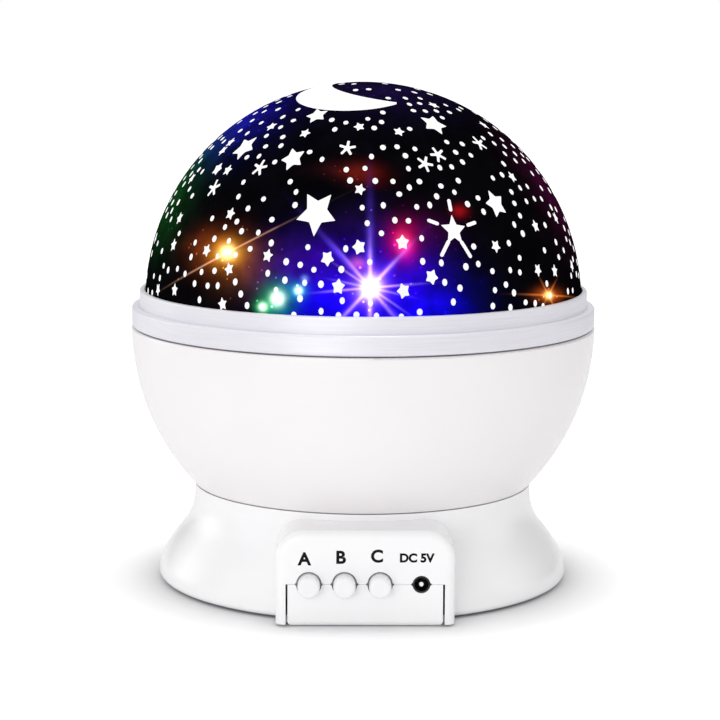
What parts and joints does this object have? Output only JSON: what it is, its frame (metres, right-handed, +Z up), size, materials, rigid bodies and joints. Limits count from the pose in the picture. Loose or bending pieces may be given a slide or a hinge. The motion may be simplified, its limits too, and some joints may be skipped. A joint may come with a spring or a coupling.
{
  "type": "star night light projector",
  "caption": "Table night light whose half-round bowl, stepped ring and printed star dome turn on a flared base with push buttons and a power inlet.",
  "frame": {"origin": "on the floor under the centre of the feet, on the axis that the bowl turns about", "axes": "+Z up along the bowl's axis, -Y towards the control panel with the buttons, +X to the panel's right"},
  "size_m": [0.125, 0.125, 0.1342],
  "materials": {
    "white_abs": "glossy moulded",
    "clear_dome": "clear moulded polystyrene, polished",
    "printed_film": "black print with clear stars",
    "foot_rubber": "matte",
    "cell_sleeve": "satin",
    "nickel_strip": "nickel plated",
    "zinc_steel": "zinc plated",
    "spring_steel": "blued",
    "steel_shaft": "ground",
    "lead_jacket": "soft jacket",
    "stem_abs": "matte moulded",
    "washer_acetal": "natural",
    "circuit_board": "solder mask",
    "chip_epoxy": "matte",
    "switch_plastic": "matte",
    "jack_plastic": "satin",
    "gear_acetal": "natural acetal",
    "gearbox_abs": "matte",
    "motor_can": "zinc plated",
    "led_warm": "clear epoxy",
    "led_red": "clear epoxy",
    "led_green": "clear epoxy",
    "led_blue": "clear epoxy"
  },
  "bodies": {
    "base": {"base_housing": "white_abs", "bottom_cover": "white_abs", "cover_screws": "zinc_steel", "rubber_feet": "foot_rubber", "battery_cells": "cell_sleeve", "battery_contacts": "nickel_strip", "battery_leads": "lead_jacket", "lamp_stem": "stem_abs", "stem_screws": "zinc_steel", "thrust_washer": "washer_acetal", "hub_clip": "spring_steel", "led_board": "circuit_board", "led_board_screws": "zinc_steel", "led_warm": "led_warm", "led_red": "led_red", "led_green": "led_green", "led_blue": "led_blue", "led_harness": "lead_jacket", "gearbox_case": "gearbox_abs", "gearbox_lid": "gearbox_abs", "gearbox_screws": "zinc_steel", "drive_motor": "motor_can", "motor_leads": "lead_jacket", "control_board": "circuit_board", "control_chip": "chip_epoxy", "tact_switches": "switch_plastic", "dc_jack": "jack_plastic", "dc_jack_pin": "nickel_strip"},
    "bowl": {"bowl": "white_abs", "ring_gear": "gear_acetal", "ring_gear_screws": "zinc_steel"},
    "trim_ring": {"trim_ring": "white_abs"},
    "dome": {"dome_cover": "clear_dome", "star_film": "printed_film"},
    "pinion": {"output_shaft": "steel_shaft", "drive_pinion": "gear_acetal"},
    "button_a": {"button_a": "white_abs"},
    "button_b": {"button_b": "white_abs"},
    "button_c": {"button_c": "white_abs"},
    "battery_door": {"battery_door": "white_abs", "battery_door_screw": "zinc_steel"}
  },
  "joints": [
    {"name": "bowl_spin", "type": "hinge", "parent": "base", "child": "bowl", "pos_m": [0, 0, 0.036], "axis": [0, 0, 1], "continuous": true},
    {"name": "pinion_spin", "type": "hinge", "parent": "base", "child": "pinion", "pos_m": [0, -0.024, 0.03], "axis": [0, 0, 1], "continuous": true},
    {"name": "ring_twist", "type": "hinge", "parent": "bowl", "child": "trim_ring", "pos_m": [0, 0, 0.0665], "axis": [0, 0, 1], "range_deg": [0, 34]},
    {"name": "dome_lift", "type": "slide", "parent": "trim_ring", "child": "dome", "axis": [0, 0, 1], "range_m": [0, 0.07]},
    {"name": "button_a_press", "type": "slide", "parent": "base", "child": "button_a", "axis": [0, 1, 0], "range_m": [0, 0.0008], "stiffness_N_per_m": 300},
    {"name": "button_b_press", "type": "slide", "parent": "base", "child": "button_b", "axis": [0, 1, 0], "range_m": [0, 0.0008], "stiffness_N_per_m": 300},
    {"name": "button_c_press", "type": "slide", "parent": "base", "child": "button_c", "axis": [0, 1, 0], "range_m": [0, 0.0008], "stiffness_N_per_m": 300},
    {"name": "battery_door_drop", "type": "slide", "parent": "base", "child": "battery_door", "axis": [0, 0, -1], "range_m": [0, 0.03]}
  ],
  "couplings": [
    {"joint": "pinion_spin", "follows": "bowl_spin", "ratio": 5}
  ]
}
